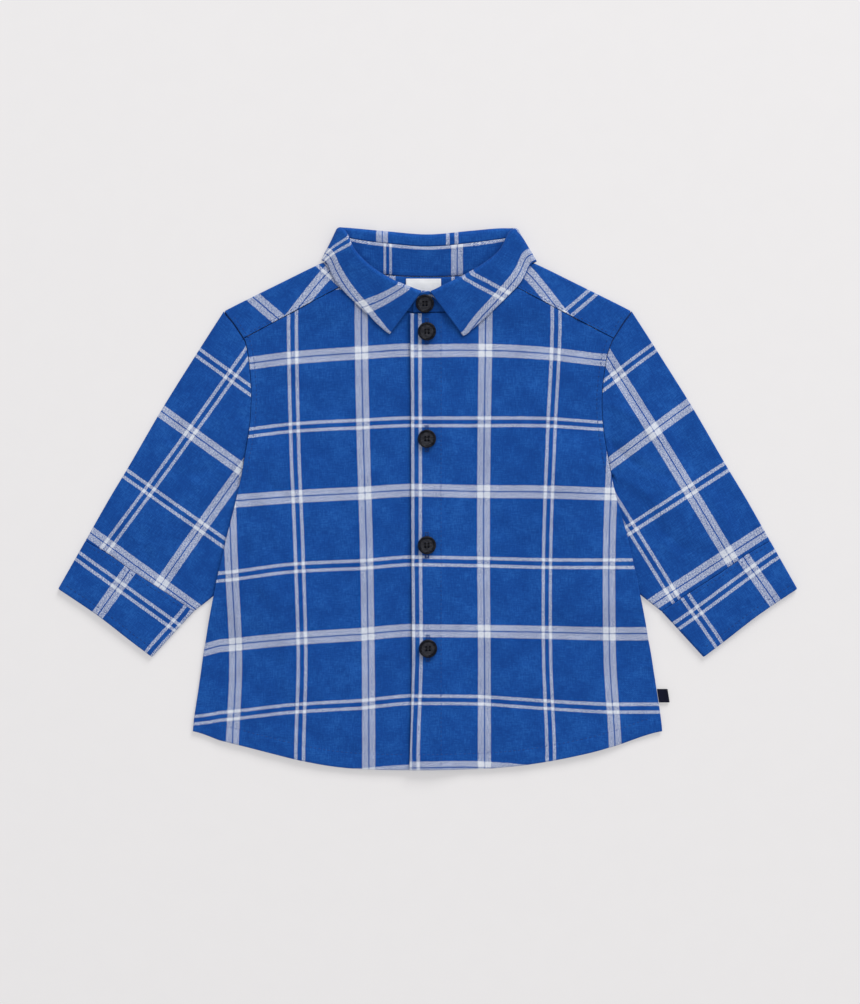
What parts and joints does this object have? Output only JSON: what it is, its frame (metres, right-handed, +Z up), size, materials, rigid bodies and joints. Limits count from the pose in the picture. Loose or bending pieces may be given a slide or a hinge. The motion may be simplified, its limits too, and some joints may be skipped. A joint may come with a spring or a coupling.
{
  "type": "flannel shirt",
  "caption": "Small child's check flannel shirt with long sleeves, cuffs, a turned-down collar and a buttoned front, laid flat on its back",
  "frame": {"origin": "on the surface that the shirt lies on, under the middle of its outline", "axes": "+X across the shirt to the right as seen from above its front, +Y from hem to collar, +Z up out of the surface"},
  "size_m": [0.4726, 0.347, 0.0122],
  "materials": {
    "check_flannel": "brushed cotton twill, blue with a white woven check of one broad stripe and one pair of narrow stripes, soft and matt",
    "button": "very dark navy moulded plastic with a raised rim and four holes, satin",
    "label": "off-white satin ribbon, bare",
    "tag": "dark navy woven ribbon, bare"
  },
  "bodies": {
    "root": {"back": "check_flannel", "front_left": "check_flannel", "front_right": "check_flannel", "yoke": "check_flannel", "sleeve_left": "check_flannel", "sleeve_right": "check_flannel", "cuff_left": "check_flannel", "cuff_right": "check_flannel", "collar_stand": "check_flannel", "collar_leaf": "check_flannel", "button_1": "button", "button_2": "button", "button_3": "button", "button_4": "button", "button_5": "button", "neck_label": "label", "side_tag": "tag"}
  },
  "joints": []
}
